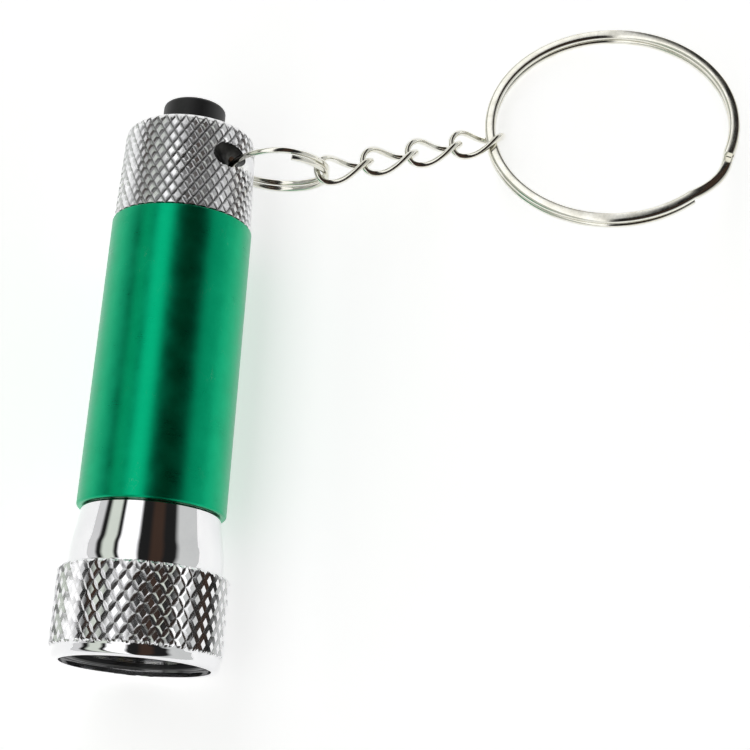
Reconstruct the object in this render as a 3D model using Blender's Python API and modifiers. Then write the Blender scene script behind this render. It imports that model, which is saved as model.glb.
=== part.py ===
"""Keychain flashlight: a small push-button torch on a split ring, a curb chain and a key ring.

The torch lies on its side with its axis along Y, head towards -Y and tail towards +Y. The chain
leaves the tail cap on the +X side and comes down to a key ring that leans on the same surface.
Lengths are in millimetres here and become metres where objects are made. Along the torch, s is
the distance from the bezel's front face towards the tail, and r is the distance from its axis.
"""
import math

import bmesh
import bpy
from mathutils import Matrix, Vector

MM = 0.001

# ---------------------------------------------------------------- driving dimensions, in mm
BARREL_DIAMETER = 14.6
HEAD_DIAMETER = 16.7
TORCH_LENGTH = 54.8            # bezel face to the end of the tail cap, without the button
BARREL_FRONT = 14.9
BARREL_REAR = 44.6
BARREL_BORE_RADIUS = 6.45
SEAM = 0.15                    # gap left between neighbours along the axis and round it

CELL_RADIUS = 5.8
CELL_HEIGHT = 5.4
CELL_COUNT = 4
CELL_PITCH = 5.55
CELL_START = 17.75

LED_COUNT = 5
LED_RADIUS = 2.33
LED_PITCH_RADIUS = 4.4

BUTTON_RADIUS = 3.2
BUTTON_STAND = 3.3             # height of the button above the tail cap's end face
BUTTON_EDGE = 0.55
CAP_BASE_RADIUS = 6.95
CAP_END_RADIUS = 6.65
CAP_SHOULDER = 1.25            # radius of the tail cap's round shoulder
CAP_WALL_START = 49.2          # inner face of the tail cap's thick end wall

SPLIT_RING_RADIUS = 4.93       # to the wire's centre
SPLIT_RING_WIRE = 0.6
SPLIT_RING_RISE = SPLIT_RING_WIRE + 0.06  # from one turn's centre to the other's
SPLIT_RING_GAP = math.radians(110)        # middle of the gap between the wire's two ends
SPLIT_RING_HALF_GAP = math.radians(46)
SPLIT_RING_STATION = 51.3      # s of the ring's centre
SPLIT_RING_AZIMUTH = math.radians(8)      # how far round the cap from +X the ring stands, towards +Z
SPLIT_RING_LEAN = math.radians(-3)        # the ring and its hole lean this far from square
RING_HOLE_OFFSET = 5.12        # distance of the hole's axis from the torch's axis
RING_HOLE_RADIUS = 1.2
RING_HOLE_CAP_RADIUS = 6.75    # the tail cap's outer radius where the hole is
RING_ENTRY_OFFSET = 5.92       # the ring's wire leaves the cap this far out from the torch's axis

LINK_COUNT = 4
LINK_LENGTH = 6.72
LINK_WIDTH = 3.8
LINK_WIRE = 0.65
LINK_GAP = 0.15                 # play between one link and the next
LINK_TWIST = math.radians(90)
LINK_SQUARENESS = 0.82         # 1 would make a link's outline an ellipse, and less fills its corners
CHAIN_YAW = math.radians(24.2)
CHAIN_DROP = math.radians(18.8)
CHAIN_ROLL = math.radians(12)
CHAIN_HOOK_ANGLE = math.radians(6)        # where on the split ring the chain hooks, from +X
HOOK_PLAY = 0.42               # between the split ring's wire and the first link
KEY_RING_PLAY = 0.36            # between the last link and the key ring's wire

KEY_RING_RADIUS = 12.85        # to the middle of the flat wire
KEY_RING_WIRE_WIDTH = 1.2
KEY_RING_WIRE_HEIGHT = 0.65
KEY_RING_WIRE_CORNER = 0.2     # the flat wire's corners are cut by this much
KEY_RING_RISE = KEY_RING_WIRE_HEIGHT + 0.05
KEY_RING_GAP = math.radians(-33.5)
KEY_RING_HALF_GAP = math.radians(15)
KEY_RING_BULGE = 0.35          # the wire passes its own ends this much further out
KEY_RING_TILT = Matrix.Rotation(math.radians(-7.6), 4, "Y") @ Matrix.Rotation(math.radians(-16.6), 4, "X")
KEY_RING_HOOK_ANGLE = math.radians(190)   # where on the key ring the last link sits

TORCH_AXIS_HEIGHT = HEAD_DIAMETER / 2
BOX_CENTRE = (24.405, 37.017)  # middle of the whole object's box, from the torch's axis and bezel face

OUTER_SEGMENTS = 48
INNER_SEGMENTS = 32

# ---------------------------------------------------------------- scene and materials


def empty_the_scene():
    for obj in list(bpy.data.objects):
        bpy.data.objects.remove(obj, do_unlink=True)


def new_collection(name):
    collection = bpy.data.collections.new(name)
    bpy.context.scene.collection.children.link(collection)
    return collection


def material(name, colour, roughness, metallic=0.0, transmission=0.0):
    mat = bpy.data.materials.new(name)
    mat.use_nodes = True
    shader = mat.node_tree.nodes["Principled BSDF"]
    shader.inputs["Base Color"].default_value = (*colour, 1.0)
    shader.inputs["Roughness"].default_value = roughness
    shader.inputs["Metallic"].default_value = metallic
    shader.inputs["Transmission Weight"].default_value = transmission
    return mat


empty_the_scene()
PARTS = new_collection("keychain_flashlight")
CUTTERS = new_collection("cutters")
GREEN = material("anodised_green", (0.0, 0.32, 0.16), 0.25, 1.0)
SILVER = material("bright_aluminium", (0.85, 0.85, 0.87), 0.15, 1.0)
NICKEL = material("nickel_wire", (0.78, 0.77, 0.71), 0.18, 1.0)
BLACK = material("black_plastic", (0.012, 0.012, 0.014), 0.4)
RUBBER = material("black_rubber", (0.02, 0.02, 0.02), 0.7)
CLEAR = material("clear_plastic", (0.95, 0.97, 1.0), 0.03, 0.0, 1.0)
LED_PLASTIC = material("led_plastic", (0.9, 0.92, 0.85), 0.1, 0.0, 0.6)
BOARD = material("circuit_board", (0.02, 0.18, 0.06), 0.5)
SPRING_STEEL = material("spring_steel", (0.6, 0.6, 0.62), 0.25, 1.0)
BRASS = material("brass", (0.8, 0.6, 0.25), 0.25, 1.0)
CELL_STEEL = material("cell_steel", (0.75, 0.75, 0.76), 0.22, 1.0)
CARD = material("sleeve_card", (0.75, 0.7, 0.6), 0.8)

# ---------------------------------------------------------------- placing and making shapes


def in_torch(x, s, z):
    """A point given from the torch's axis and bezel face, as world metres."""
    return Vector((x - BOX_CENTRE[0], s - BOX_CENTRE[1], z + TORCH_AXIS_HEIGHT)) * MM


TORCH_FRAME = Matrix.Translation(in_torch(0, 0, 0)) @ Matrix.Rotation(math.radians(-90), 4, "X")


def add_object(name, data, collection=PARTS, mat=None, matrix=None):
    obj = bpy.data.objects.new(name, data)
    collection.objects.link(obj)
    if mat:
        data.materials.append(mat)
    if matrix:
        obj.matrix_world = matrix
    return obj


def turned(name, outline, mat, segments=OUTER_SEGMENTS, closed=True, matrix=TORCH_FRAME, collection=PARTS):
    """A turned solid from (r, s) points that run down the outer side, from high s to low s.

    A closed outline makes a ring. An open one starts and ends on the axis and makes a solid.
    """
    mesh = bpy.data.meshes.new(name)
    points = [(r * MM, 0.0, s * MM) for r, s in outline]
    edges = [(i, i + 1) for i in range(len(points) - 1)]
    if closed:
        edges.append((len(points) - 1, 0))
    mesh.from_pydata(points, edges, [])
    obj = add_object(name, mesh, collection, mat, matrix)
    screw = obj.modifiers.new("turn", "SCREW")
    screw.axis = "Z"
    screw.angle = math.radians(360)
    screw.steps = segments
    screw.render_steps = segments
    screw.use_merge_vertices = True
    screw.merge_threshold = 1e-5
    screw.use_smooth_shade = True
    return obj


def arc(centre_r, centre_s, radius, start_deg, end_deg, steps):
    """Points on a round edge of an outline, with 0 degrees pointing outwards and 90 to the tail."""
    points = []
    for i in range(steps + 1):
        angle = math.radians(start_deg + (end_deg - start_deg) * i / steps)
        points.append((centre_r + radius * math.cos(angle), centre_s + radius * math.sin(angle)))
    return points


def ring_outline(inner, outer, low, high):
    return [(inner, high), (outer, high), (outer, low), (inner, low)]


def disc_outline(radius, low, high, edge=0.15):
    return [(0, high), (radius - edge, high), (radius, high - edge),
            (radius, low + edge), (radius - edge, low), (0, low)]


def cylinder_cutter(name, radius, length, matrix, segments=INNER_SEGMENTS):
    mesh = bpy.data.meshes.new(name)
    shape = bmesh.new()
    bmesh.ops.create_cone(shape, cap_ends=True, segments=segments, radius1=radius * MM,
                          radius2=radius * MM, depth=length * MM)
    shape.to_mesh(mesh)
    shape.free()
    obj = add_object(name, mesh, CUTTERS, None, matrix)
    obj.hide_render = True
    obj.display_type = "WIRE"
    return obj


def cut(obj, cutter):
    boolean = obj.modifiers.new("cut_" + cutter.name, "BOOLEAN")
    boolean.operation = "DIFFERENCE"
    boolean.object = cutter


def poly_curve(name, points, closed=False, dimensions="3D"):
    """A curve of straight steps through points given in metres."""
    curve = bpy.data.curves.new(name, "CURVE")
    curve.dimensions = dimensions
    spline = curve.splines.new("POLY")
    spline.points.add(len(points) - 1)
    for target, point in zip(spline.points, points):
        target.co = (*point, 1.0)
    spline.use_cyclic_u = closed
    return curve


def wire(name, points, diameter, mat, closed=False):
    """A round wire through world points given in metres."""
    curve = poly_curve(name, points, closed)
    curve.bevel_depth = diameter / 2 * MM
    curve.bevel_resolution = 2
    curve.use_fill_caps = True
    return add_object(name, curve, PARTS, mat)


def coil_spring(name, radius, diameter, low, high, turns, mat):
    """A compression spring on the torch's axis. low and high are the ends of the wire itself."""
    steps = turns * 10
    start = low + diameter / 2
    rise = high - low - diameter
    points = []
    for i in range(steps + 1):
        angle = 2 * math.pi * turns * i / steps
        points.append(in_torch(radius * math.cos(angle), start + rise * i / steps, radius * math.sin(angle)))
    return wire(name, points, diameter, mat)


# ---------------------------------------------------------------- head


def make_head():
    shoulder = BARREL_FRONT - SEAM
    outline = [(5.6, 17.4), (6.1, 17.4), (6.3, 17.2), (6.3, shoulder), (6.8, shoulder),
               (7.42, 11.2), (7.5, 10.7), (7.5, 8.9), (8.0, 8.85), (HEAD_DIAMETER / 2, 8.55),
               (HEAD_DIAMETER / 2, 1.4), (8.1, 1.15)]
    outline += arc(7.65, 0.45, 0.45, 0, -90, 3)
    outline += [(7.25, 0), (7.25, 9.0), (5.6, 9.0)]
    turned("head_shell", outline, SILVER)


def make_front_stack():
    bore = 7.25 - SEAM
    turned("lens_retaining_ring", ring_outline(6.5, bore, 0.6, 1.2), BLACK, INNER_SEGMENTS)
    turned("lens", disc_outline(bore, 1.35, 2.35), CLEAR, INNER_SEGMENTS, closed=False)
    turned("lens_gasket", ring_outline(6.6, bore, 2.5, 4.0), RUBBER, INNER_SEGMENTS)
    holder = turned("led_holder", disc_outline(bore, 4.2, 7.3), SILVER, INNER_SEGMENTS, closed=False)
    for number in range(LED_COUNT):
        make_led(number + 1, holder)
    turned("led_board", disc_outline(bore - 0.1, 7.7, 8.7), BOARD, INNER_SEGMENTS, closed=False)
    coil_spring("board_contact_spring", 2.2, 0.45, 8.9, 17.5, 6, SPRING_STEEL)


def make_led(number, holder):
    """An LED with its dome towards the lens, and the hole that it sits in."""
    angle = math.radians(90 + 360 / LED_COUNT * (number - 1))
    place = TORCH_FRAME @ Matrix.Translation(
        Vector((math.cos(angle), math.sin(angle), 0)) * LED_PITCH_RADIUS * MM)
    dome_centre = 4.9
    outline = [(0, 7.5), (LED_RADIUS, 7.5), (LED_RADIUS, dome_centre)]
    dome = arc(0, dome_centre, 1.0, 0, -90, 4)[1:]
    outline += [(r * LED_RADIUS, dome_centre + (s - dome_centre) * 2.0) for r, s in dome]
    outline[-1] = (0, outline[-1][1])
    turned(f"led_{number}", outline, LED_PLASTIC, 20, closed=False, matrix=place)
    hole_place = place @ Matrix.Translation((0, 0, 5.75 * MM))
    cut(holder, cylinder_cutter(f"led_hole_{number}", LED_RADIUS + 0.12, 6, hole_place, 20))


# ---------------------------------------------------------------- barrel and cells


def make_barrel():
    rear_radius = BARREL_DIAMETER / 2 - 0.22
    outline = [(BARREL_BORE_RADIUS, BARREL_REAR), (rear_radius - 0.08, BARREL_REAR),
               (rear_radius, BARREL_REAR - 0.08), (BARREL_DIAMETER / 2, BARREL_FRONT + 0.15),
               (BARREL_DIAMETER / 2 - 0.12, BARREL_FRONT), (BARREL_BORE_RADIUS, BARREL_FRONT)]
    turned("barrel_tube", outline, GREEN)


def make_cells():
    cells_end = CELL_START + CELL_PITCH * (CELL_COUNT - 1) + CELL_HEIGHT
    sleeve = ring_outline(CELL_RADIUS + SEAM, 6.25, CELL_START, cells_end)
    turned("cell_sleeve", sleeve, CARD, INNER_SEGMENTS)
    for number in range(CELL_COUNT):
        low = CELL_START + number * CELL_PITCH
        high = low + CELL_HEIGHT
        outline = [(0, high), (4.9, high), (4.9, high - 0.25), (CELL_RADIUS - 0.3, high - 0.25),
                   (CELL_RADIUS, high - 0.55), (CELL_RADIUS, low + 0.2), (CELL_RADIUS - 0.2, low), (0, low)]
        turned(f"cell_{number + 1}", outline, CELL_STEEL, INNER_SEGMENTS, closed=False)


# ---------------------------------------------------------------- tail cap and switch


def ring_frame():
    """Origin on the axis of the ring's hole, X outwards from the torch, Z along the hole."""
    outwards = Vector((math.cos(SPLIT_RING_AZIMUTH), 0, math.sin(SPLIT_RING_AZIMUTH)))
    along = Vector((-math.sin(SPLIT_RING_AZIMUTH), math.tan(SPLIT_RING_LEAN),
                    math.cos(SPLIT_RING_AZIMUTH))).normalized()
    across = along.cross(outwards)
    origin = in_torch(*(outwards * RING_HOLE_OFFSET + Vector((0, SPLIT_RING_STATION, 0))))
    axes = Matrix((outwards, across, along)).transposed().to_4x4()
    return Matrix.Translation(origin) @ axes


def make_tail_cap():
    base = BARREL_REAR + SEAM
    outline = [(BUTTON_RADIUS + SEAM, TORCH_LENGTH)]
    outline += arc(CAP_END_RADIUS - CAP_SHOULDER, TORCH_LENGTH - CAP_SHOULDER, CAP_SHOULDER, 90, 0, 5)
    outline += [(CAP_BASE_RADIUS, base), (6.3, base), (6.3, base - 0.15), (5.9, base - 0.2),
                (5.9, base - 1.2), (6.3, base - 1.25), (6.3, 40.4), (6.1, 40.2), (5.3, 40.2), (5.3, CAP_WALL_START),
                (BUTTON_RADIUS + SEAM, CAP_WALL_START)]
    cap = turned("tail_cap_shell", outline, SILVER)
    cut(cap, cylinder_cutter("split_ring_hole", RING_HOLE_RADIUS, 18, ring_frame(), 20))
    seal = arc(6.17, base - 0.7, 0.22, 90, -225, 7)
    turned("tail_seal_ring", seal, RUBBER)


def make_switch():
    turned("switch_retainer", ring_outline(3.7, 5.3 - SEAM, 42.9, 43.6), BRASS, INNER_SEGMENTS)
    housing = [(4.6, 48.9), (5.15, 48.9), (5.15, 43.85), (1.5, 43.85), (1.5, 45.4), (4.6, 45.4)]
    turned("switch_housing", housing, BLACK, INNER_SEGMENTS)
    coil_spring("tail_contact_spring", 3.0, 0.45, 40.0, 43.7, 3, SPRING_STEEL)
    coil_spring("button_spring", 3.4, 0.35, 45.55, 47.6, 3, SPRING_STEEL)
    plunger = disc_outline(1.25, 45.0, 47.6)
    turned("contact_plunger", plunger, BRASS, 20, closed=False)
    top = TORCH_LENGTH + BUTTON_STAND
    button = [(0, top)]
    button += arc(BUTTON_RADIUS - BUTTON_EDGE, top - BUTTON_EDGE, BUTTON_EDGE, 90, 0, 4)
    button += [(BUTTON_RADIUS, 48.95), (4.4, 48.95), (4.4, 47.8), (0, 47.8)]
    turned("button", button, BLACK, INNER_SEGMENTS, closed=False)


# ---------------------------------------------------------------- rings and chain


def split_ring_points(radius, rise, gap_middle, half_gap, hand, bulge, steps_per_turn):
    """Points in mm along a two-turn ring in the XY plane, whose wire ends half_gap from gap_middle.

    The lower turn starts past the gap. The wire changes level as it passes the gap, and the upper
    turn ends short of it. hand is 1 for an anticlockwise wire, seen from +Z, and -1 for the other.
    The wire lies bulge further out where it is halfway past the gap.
    """
    sweep = 4 * math.pi - 2 * half_gap
    steps = 2 * steps_per_turn
    points = []
    for i in range(steps + 1):
        angle = half_gap + sweep * i / steps
        share = min(max((angle - 2 * math.pi) / (2 * half_gap) + 0.5, 0.0), 1.0)
        height = (share * share * (3 - 2 * share) - 0.5) * rise
        turn = gap_middle + hand * angle
        reach = radius + bulge * 4 * share * (1 - share)
        points.append(Vector((reach * math.cos(turn), reach * math.sin(turn), height)))
    return points


def ring_sagitta():
    """Depth of the ring's arc between the two mouths of its hole."""
    half_chord = math.sqrt(RING_HOLE_CAP_RADIUS ** 2 - RING_ENTRY_OFFSET ** 2)
    return SPLIT_RING_RADIUS - math.sqrt(SPLIT_RING_RADIUS ** 2 - half_chord ** 2)


def split_ring_frame():
    """The ring's own frame: its centre, with Z square to its plane."""
    centre_offset = SPLIT_RING_RADIUS - ring_sagitta() / 2
    to_plane = Matrix.Rotation(math.radians(90), 4, "X")
    return ring_frame() @ Matrix.Translation((centre_offset * MM, 0, 0)) @ to_plane


def make_split_ring():
    frame = split_ring_frame()
    points = split_ring_points(SPLIT_RING_RADIUS, SPLIT_RING_RISE, SPLIT_RING_GAP, SPLIT_RING_HALF_GAP,
                               hand=1, bulge=0, steps_per_turn=30)
    wire("small_split_ring", [frame @ (point * MM) for point in points], SPLIT_RING_WIRE, NICKEL)


def chain_axes():
    """Unit vectors along the chain, across it, and up from it."""
    along = Vector((math.cos(CHAIN_DROP) * math.cos(CHAIN_YAW), math.cos(CHAIN_DROP) * math.sin(CHAIN_YAW),
                    -math.sin(CHAIN_DROP)))
    across = Matrix.Rotation(CHAIN_ROLL, 3, along) @ Vector((-math.sin(CHAIN_YAW), math.cos(CHAIN_YAW), 0))
    return along, across, along.cross(across)


def chain_hook():
    """The point on the split ring's wire that the first link hangs from."""
    frame = split_ring_frame()
    angle = CHAIN_HOOK_ANGLE - SPLIT_RING_AZIMUTH
    return frame @ (Vector((math.cos(angle), math.sin(angle), 0)) * SPLIT_RING_RADIUS * MM)


HOOK_TO_LINK = LINK_LENGTH / 2 - LINK_WIRE - SPLIT_RING_WIRE / 2 - HOOK_PLAY
LINK_PITCH = LINK_LENGTH - 2 * LINK_WIRE - LINK_GAP
LINK_TO_KEY_RING = LINK_LENGTH / 2 - LINK_WIRE - KEY_RING_WIRE_WIDTH / 2 - KEY_RING_PLAY


def link_centre(number):
    along = chain_axes()[0]
    return chain_hook() + along * (HOOK_TO_LINK + LINK_PITCH * number) * MM


def rounded(value):
    """A sine or cosine pushed outwards, which fills the corners of an oval."""
    return math.copysign(abs(value) ** LINK_SQUARENESS, value)


def link_points(centre, steps):
    """A curb link's path: an oval that turns through LINK_TWIST between its two ends."""
    along, across, up = chain_axes()
    half_length = (LINK_LENGTH - LINK_WIRE) / 2
    half_width = (LINK_WIDTH - LINK_WIRE) / 2
    points = []
    for i in range(steps):
        angle = 2 * math.pi * i / steps
        x = half_length * rounded(math.cos(angle))
        width = half_width * rounded(math.sin(angle))
        share = x / (2 * half_length) + 0.5
        twist = LINK_TWIST * share * share * (3 - 2 * share)
        sideways = across * math.cos(twist) - up * math.sin(twist)
        points.append(centre + (along * x + sideways * width) * MM)
    return points


def make_chain():
    for number in range(LINK_COUNT):
        wire(f"chain_link_{number + 1}", link_points(link_centre(number), 28), LINK_WIRE, NICKEL, closed=True)


def key_ring_frame():
    hook = link_centre(LINK_COUNT - 1) + chain_axes()[0] * LINK_TO_KEY_RING * MM
    from_centre = KEY_RING_TILT @ (Vector((math.cos(KEY_RING_HOOK_ANGLE), math.sin(KEY_RING_HOOK_ANGLE), 0))
                                   * KEY_RING_RADIUS * MM)
    return Matrix.Translation(hook - from_centre) @ KEY_RING_TILT


def flat_wire_section():
    """The key ring's wire in section: a small rectangle with cut corners, as a clockwise outline."""
    half_width = KEY_RING_WIRE_WIDTH / 2
    half_height = KEY_RING_WIRE_HEIGHT / 2
    outline = []
    for side_x, side_y in ((1, -1), (-1, -1), (-1, 1), (1, 1)):
        pair = [(side_x * half_width, side_y * (half_height - KEY_RING_WIRE_CORNER)),
                (side_x * (half_width - KEY_RING_WIRE_CORNER), side_y * half_height)]
        outline += pair if side_x * side_y < 0 else pair[::-1]
    curve = poly_curve("key_ring_section", [(x * MM, y * MM, 0) for x, y in outline], True, "2D")
    section = add_object("key_ring_section", curve, CUTTERS)
    section.hide_render = True
    section.display_type = "WIRE"
    return section


def make_key_ring():
    points = split_ring_points(KEY_RING_RADIUS, KEY_RING_RISE, KEY_RING_GAP, KEY_RING_HALF_GAP,
                               hand=-1, bulge=KEY_RING_BULGE, steps_per_turn=40)
    curve = poly_curve("key_ring", [point * MM for point in points])
    curve.bevel_mode = "OBJECT"
    curve.bevel_object = flat_wire_section()
    curve.use_fill_caps = True
    curve.twist_mode = "Z_UP"
    add_object("key_ring", curve, PARTS, NICKEL, key_ring_frame())


make_head()
make_front_stack()
make_barrel()
make_cells()
make_tail_cap()
make_switch()
make_split_ring()
make_chain()
make_key_ring()
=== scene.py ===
"""Looks of the keychain flashlight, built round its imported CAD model.

The torch's axis runs along Y, head towards -Y. Along it, s is the distance from the bezel's front
face in millimetres, and r is the distance from the axis. Knurls, rings, chain and every turned
surface are real geometry. The materials are built from nodes: noise, fine lines and scratches.
"""
import math

import bmesh
import bpy
from mathutils import Matrix, Vector


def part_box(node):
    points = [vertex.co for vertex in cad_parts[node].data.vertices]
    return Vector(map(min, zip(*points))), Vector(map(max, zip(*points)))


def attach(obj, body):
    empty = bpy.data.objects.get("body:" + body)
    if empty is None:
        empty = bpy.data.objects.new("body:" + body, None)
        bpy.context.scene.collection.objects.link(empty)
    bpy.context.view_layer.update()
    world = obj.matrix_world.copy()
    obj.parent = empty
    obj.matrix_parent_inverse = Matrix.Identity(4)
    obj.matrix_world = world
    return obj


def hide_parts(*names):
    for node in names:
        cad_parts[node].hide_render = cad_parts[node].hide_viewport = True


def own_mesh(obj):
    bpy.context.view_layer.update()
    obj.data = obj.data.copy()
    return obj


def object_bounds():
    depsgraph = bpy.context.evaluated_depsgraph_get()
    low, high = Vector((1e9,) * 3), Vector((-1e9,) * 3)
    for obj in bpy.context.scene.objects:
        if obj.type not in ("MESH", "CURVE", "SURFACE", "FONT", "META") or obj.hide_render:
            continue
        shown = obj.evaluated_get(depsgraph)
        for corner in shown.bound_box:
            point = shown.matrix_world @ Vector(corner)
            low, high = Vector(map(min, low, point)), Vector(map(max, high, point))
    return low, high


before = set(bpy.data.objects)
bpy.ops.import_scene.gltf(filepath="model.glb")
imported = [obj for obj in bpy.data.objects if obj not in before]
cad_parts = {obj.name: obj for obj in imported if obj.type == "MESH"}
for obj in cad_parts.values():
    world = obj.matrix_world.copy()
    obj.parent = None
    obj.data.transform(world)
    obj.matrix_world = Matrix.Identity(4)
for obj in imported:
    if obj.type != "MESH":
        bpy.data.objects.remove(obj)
CAD_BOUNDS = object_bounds()
MM = 0.001

# ---------------------------------------------------------------- places taken from the frame
BARREL_LOW, BARREL_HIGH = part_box("barrel_tube")
HEAD_LOW, HEAD_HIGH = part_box("head_shell")
CAP_LOW, CAP_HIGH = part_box("tail_cap_shell")
BUTTON_LOW, BUTTON_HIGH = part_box("button")
AXIS_X = (BARREL_LOW.x + BARREL_HIGH.x) / 2
AXIS_Z = (BARREL_LOW.z + BARREL_HIGH.z) / 2
BEZEL_Y = HEAD_LOW.y


def station(y):
    """Distance in millimetres from the bezel's front face to a place along the torch."""
    return (y - BEZEL_Y) / MM


HEAD_RADIUS = (HEAD_HIGH.z - HEAD_LOW.z) / 2 / MM
BARREL_RADIUS = (BARREL_HIGH.z - BARREL_LOW.z) / 2 / MM
CAP_RADIUS = (CAP_HIGH.z - CAP_LOW.z) / 2 / MM
BARREL_FRONT = station(BARREL_LOW.y)
BARREL_REAR = station(BARREL_HIGH.y)
CAP_END = station(CAP_HIGH.y)
CAP_SPIGOT = station(CAP_LOW.y)
BUTTON_TOP = station(BUTTON_HIGH.y)
BUTTON_BASE = station(BUTTON_LOW.y)

# ---------------------------------------------------------------- sizes in mm
SEAM = 0.15                    # play between neighbouring pieces
TIP = 0.02                     # radius of the small flat where a solid piece meets its own axis
SHARP_DEGREES = 28             # edges that turn by more than this are drawn sharp
HEAD_BORE = 7.25
HEAD_BAND_START = 1.35         # the head's knurl is whole between these two stations
HEAD_BAND_END = 8.55
HEAD_CHAMFER_SLOPE = 1.2       # and is cut down by this much in radius for each mm past them
SPIGOT_RADIUS = 6.3            # of the head's and the cap's ends inside the barrel
BARREL_TAPER = 0.22            # the barrel is this much smaller in radius at its tail
BARREL_BORE = 6.45
CAP_TAPER = 0.3
CAP_SHOULDER = 1.25
CAP_WALL_START = 49.2
CAP_BASE = BARREL_REAR + SEAM
BUTTON_RADIUS = 3.2
BUTTON_FLANGE_RADIUS = 4.4
BUTTON_FLANGE_TOP = 48.95
BUTTON_SPRING_WIRE = 0.35
BUTTON_SPRING_TURNS = 3
BUTTON_SPRING_STEPS = 40       # points along one turn
THREAD_PITCH = 0.75
THREAD_DEPTH = 0.22

KNURL_AROUND = 40              # diamonds round the head and round the tail cap
KNURL_ASPECT = 1.5             # height of a diamond over its width
KNURL_DEPTH = 0.27
KNURL_FINENESS = 4             # grid steps from a diamond's middle to its edge
KNURL_FLAT = 0.5               # the diamonds' sides end at this share of full height, in a flat crest

SPLIT_RING_RADIUS = 4.93
SPLIT_RING_WIRE = 0.6
SPLIT_RING_RISE = SPLIT_RING_WIRE + 0.06
SPLIT_RING_GAP = math.radians(110)
SPLIT_RING_HALF_GAP = math.radians(46)
SPLIT_RING_STATION = 51.3
SPLIT_RING_AZIMUTH = math.radians(8)
SPLIT_RING_LEAN = math.radians(-3)
RING_HOLE_OFFSET = 5.12
RING_HOLE_RADIUS = 1.2
RING_HOLE_CAP_RADIUS = 6.75
RING_ENTRY_OFFSET = 5.92
# Only here, not in the CAD: the wires are thinner and the hole wider than in the frame, so that the
# pieces clear each other at the joints' limits.
HOLE_CLEARANCE = 0.08          # added to the hole's radius
WIRE_CLEARANCE = 0.03          # taken off each wire's thickness
HOLE_LAND_OFFSET = 1.2         # a smooth land lies this far outside the hole's axis
HOLE_LAND_RADIUS = 0.7         # no knurl within this, and the whole knurl again at twice it

LINK_COUNT = 4
LINK_LENGTH = 6.72
LINK_WIDTH = 3.8
LINK_WIRE = 0.65
LINK_GAP = 0.15
LINK_TWIST = math.radians(90)
LINK_SQUARENESS = 0.82
CHAIN_YAW = math.radians(24.2)
CHAIN_DROP = math.radians(18.8)
CHAIN_ROLL = math.radians(12)
CHAIN_HOOK_ANGLE = math.radians(6)
HOOK_PLAY = 0.42
KEY_RING_PLAY = 0.36

KEY_RING_RADIUS = 12.85
KEY_RING_WIRE_WIDTH = 1.2
KEY_RING_WIRE_HEIGHT = 0.65
KEY_RING_RISE = KEY_RING_WIRE_HEIGHT + 0.05
KEY_RING_GAP = math.radians(-33.5)
KEY_RING_HALF_GAP = math.radians(15)
KEY_RING_BULGE = 0.35
KEY_RING_CORNER = 0.3          # radius of the flat wire's edges
KEY_RING_TILT = (Matrix.Rotation(math.radians(-7.6), 4, "Y")
                 @ Matrix.Rotation(math.radians(-16.6), 4, "X"))
KEY_RING_HOOK_ANGLE = math.radians(190)

LED_COUNT = 5
LED_RADIUS = 2.33
LED_PITCH_RADIUS = 4.4
CELL_COUNT = 4

ROUND = 192                    # columns of a plain turned piece

# ---------------------------------------------------------------- node helpers


def new_material(name):
    mat = bpy.data.materials.new(name)
    mat.use_nodes = True
    tree = mat.node_tree
    return mat, tree, tree.nodes["Principled BSDF"]


def node(tree, kind, **values):
    made = tree.nodes.new(kind)
    for key, value in values.items():
        setattr(made, key, value)
    return made


def stretched_coordinates(tree, scale, about_axis=False):
    """Object coordinates scaled by axis. About the axis, X becomes the angle round the torch."""
    place = node(tree, "ShaderNodeTexCoord").outputs["Object"]
    if about_axis:
        shift = node(tree, "ShaderNodeVectorMath", operation="SUBTRACT")
        tree.links.new(place, shift.inputs[0])
        shift.inputs[1].default_value = (AXIS_X, 0, AXIS_Z)
        parts = node(tree, "ShaderNodeSeparateXYZ")
        tree.links.new(shift.outputs[0], parts.inputs[0])
        angle = node(tree, "ShaderNodeMath", operation="ARCTAN2")
        tree.links.new(parts.outputs["X"], angle.inputs[0])
        tree.links.new(parts.outputs["Z"], angle.inputs[1])
        joined = node(tree, "ShaderNodeCombineXYZ")
        tree.links.new(angle.outputs[0], joined.inputs["X"])
        tree.links.new(parts.outputs["Y"], joined.inputs["Y"])
        place = joined.outputs[0]
    mapping = node(tree, "ShaderNodeMapping")
    mapping.inputs["Scale"].default_value = scale
    tree.links.new(place, mapping.inputs["Vector"])
    return mapping.outputs["Vector"]


def noise(tree, vector, scale, detail=4.0, roughness=0.55):
    made = node(tree, "ShaderNodeTexNoise")
    made.inputs["Scale"].default_value = scale
    made.inputs["Detail"].default_value = detail
    made.inputs["Roughness"].default_value = roughness
    tree.links.new(vector, made.inputs["Vector"])
    return made.outputs["Fac"]


def remap(tree, value, low, high, to_low, to_high):
    made = node(tree, "ShaderNodeMapRange", clamp=True)
    made.inputs["From Min"].default_value = low
    made.inputs["From Max"].default_value = high
    made.inputs["To Min"].default_value = to_low
    made.inputs["To Max"].default_value = to_high
    tree.links.new(value, made.inputs["Value"])
    return made.outputs["Result"]


def blend_colours(tree, factor, first, second):
    made = node(tree, "ShaderNodeMix", data_type="RGBA")
    tree.links.new(factor, made.inputs["Factor"])
    for socket, colour in ((made.inputs["A"], first), (made.inputs["B"], second)):
        if isinstance(colour, tuple):
            socket.default_value = (*colour, 1.0)
        else:
            tree.links.new(colour, socket)
    return made.outputs["Result"]


def combine(tree, operation, first, second):
    made = node(tree, "ShaderNodeMath", operation=operation)
    for socket, value in zip(made.inputs, (first, second)):
        if isinstance(value, (int, float)):
            socket.default_value = value
        else:
            tree.links.new(value, socket)
    return made.outputs[0]


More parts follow.
